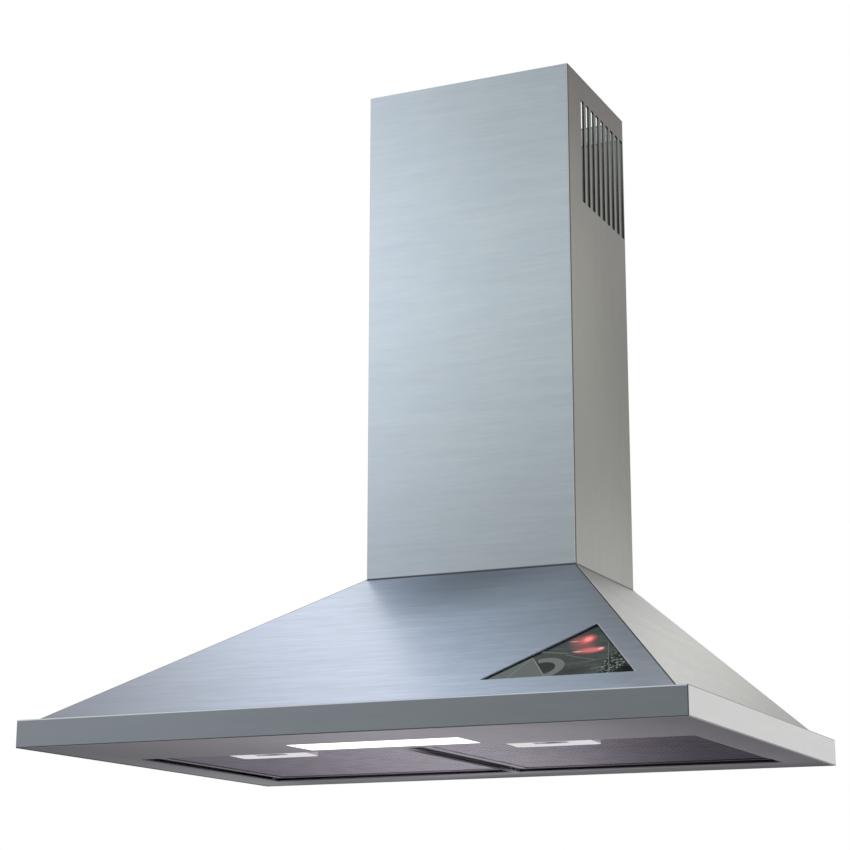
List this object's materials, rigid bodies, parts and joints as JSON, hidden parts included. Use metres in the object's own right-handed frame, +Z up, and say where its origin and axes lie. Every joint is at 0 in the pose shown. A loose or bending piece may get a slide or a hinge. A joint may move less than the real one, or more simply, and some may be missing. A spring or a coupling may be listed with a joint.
{
  "type": "chimney range hood",
  "caption": "Wall-hung chimney range hood in brushed steel: shallow pyramid canopy on a square rim, telescoping chimney with side vents, triangular glass touch panel, two mesh filters, lamp.",
  "frame": {"origin": "on the wall plane, in the hood's middle, level with the underside of its rim", "axes": "+X to the cook's right, +Y into the wall, +Z up along the chimney"},
  "size_m": [0.6, 0.45, 0.674],
  "materials": {
    "canopy_steel": "fine horizontal brushing",
    "chimney_steel": "fine horizontal brushing",
    "underside_steel": "satin",
    "plain_steel": "galvanised",
    "filter_frame": "satin",
    "filter_mesh": "expanded mesh",
    "handle": "satin",
    "latch_plastic": "moulded",
    "spring_steel": "wire",
    "lamp_diffuser": "frosted",
    "reflector": "bright",
    "ceramic": "glazed",
    "bulb_glass": "frosted",
    "nickel": "plated",
    "smoked_glass": "smoked, glossy",
    "seal_rubber": "matte",
    "black_plastic": "moulded",
    "circuit_board": "solder mask",
    "led_red": "lit",
    "contact_brass": "plain",
    "zinc_steel": "zinc plated",
    "housing_plastic": "moulded",
    "wheel_plastic": "moulded",
    "flap_plastic": "moulded",
    "bright_steel": "ground",
    "core_steel": "laminated",
    "copper": "enamelled wire",
    "capacitor_can": "moulded",
    "cable_sheath": "smooth"
  },
  "bodies": {
    "hood": {"canopy_front_panel": "canopy_steel", "canopy_left_panel": "canopy_steel", "canopy_right_panel": "canopy_steel", "rim_band": "canopy_steel", "chimney_lower_cover": "chimney_steel", "underside_panel": "underside_steel", "canopy_back_panel": "plain_steel", "canopy_top_plate": "plain_steel", "filter_hinge_brackets": "plain_steel", "filter_front_rails": "plain_steel", "lamp_housing": "plain_steel", "motor_bracket": "plain_steel", "motor_casing": "plain_steel", "lamp_reflector": "reflector", "lampholder": "ceramic", "lamp_bulb": "bulb_glass", "lamp_bulb_cap": "nickel", "control_glass": "smoked_glass", "control_gasket": "seal_rubber", "motor_grommets": "seal_rubber", "cable_gland": "seal_rubber", "control_housing": "black_plastic", "terminal_box": "black_plastic", "terminal_box_lid": "black_plastic", "control_board": "circuit_board", "control_leds": "led_red", "control_touch_springs": "contact_brass", "control_nuts": "zinc_steel", "screws": "zinc_steel", "blower_housing_left": "housing_plastic", "blower_housing_right": "housing_plastic", "outlet_collar": "housing_plastic", "motor_bearings": "bright_steel", "flap_pin": "bright_steel", "motor_stator": "core_steel", "motor_windings": "copper", "capacitor": "capacitor_can", "wiring": "cable_sheath"},
    "upper_chimney": {"chimney_upper_cover": "chimney_steel", "chimney_bracket": "plain_steel", "chimney_bracket_screws": "zinc_steel"},
    "left_filter": {"filter_left_frame": "filter_frame", "filter_left_mesh": "filter_mesh", "filter_left_core": "filter_mesh", "filter_left_handle": "handle", "filter_left_latch_springs": "spring_steel"},
    "left_latch": {"filter_left_latch": "latch_plastic"},
    "right_filter": {"filter_right_frame": "filter_frame", "filter_right_mesh": "filter_mesh", "filter_right_core": "filter_mesh", "filter_right_handle": "handle", "filter_right_latch_springs": "spring_steel"},
    "right_latch": {"filter_right_latch": "latch_plastic"},
    "lamp_door": {"lamp_cover": "lamp_diffuser"},
    "fan_wheel": {"impeller": "wheel_plastic", "impeller_nut": "zinc_steel", "motor_shaft": "bright_steel", "motor_rotor": "core_steel"},
    "front_flap": {"flap_front": "flap_plastic"},
    "rear_flap": {"flap_rear": "flap_plastic"}
  },
  "joints": [
    {"name": "chimney_slide", "type": "slide", "parent": "hood", "child": "upper_chimney", "axis": [0, 0, 1], "range_m": [0, 0.37]},
    {"name": "lamp_cover_hinge", "type": "hinge", "parent": "hood", "child": "lamp_door", "pos_m": [0, -0.3704, 0.003], "axis": [-1, 0, 0], "range_deg": [0, 85]},
    {"name": "impeller_spin", "type": "hinge", "parent": "hood", "child": "fan_wheel", "pos_m": [0, -0.1, 0.1], "axis": [1, 0, 0], "continuous": true},
    {"name": "front_flap_hinge", "type": "hinge", "parent": "hood", "child": "front_flap", "pos_m": [0, -0.08, 0.21], "axis": [-1, 0, 0], "range_deg": [0, 75]},
    {"name": "rear_flap_hinge", "type": "hinge", "parent": "hood", "child": "rear_flap", "pos_m": [0, -0.08, 0.21], "axis": [1, 0, 0], "range_deg": [0, 75]},
    {"name": "left_filter_hinge", "type": "hinge", "parent": "hood", "child": "left_filter", "pos_m": [-0.13275, -0.0515, 0.0065], "axis": [1, 0, 0], "range_deg": [0, 85]},
    {"name": "left_latch_slide", "type": "slide", "parent": "left_filter", "child": "left_latch", "axis": [0, 1, 0], "range_m": [0, 0.006], "stiffness_N_per_m": 200, "springref_m": -0.003, "deforming": ["filter_left_latch_springs"]},
    {"name": "right_filter_hinge", "type": "hinge", "parent": "hood", "child": "right_filter", "pos_m": [0.13275, -0.0515, 0.0065], "axis": [1, 0, 0], "range_deg": [0, 85]},
    {"name": "right_latch_slide", "type": "slide", "parent": "right_filter", "child": "right_latch", "axis": [0, 1, 0], "range_m": [0, 0.006], "stiffness_N_per_m": 200, "springref_m": -0.003, "deforming": ["filter_right_latch_springs"]}
  ]
}
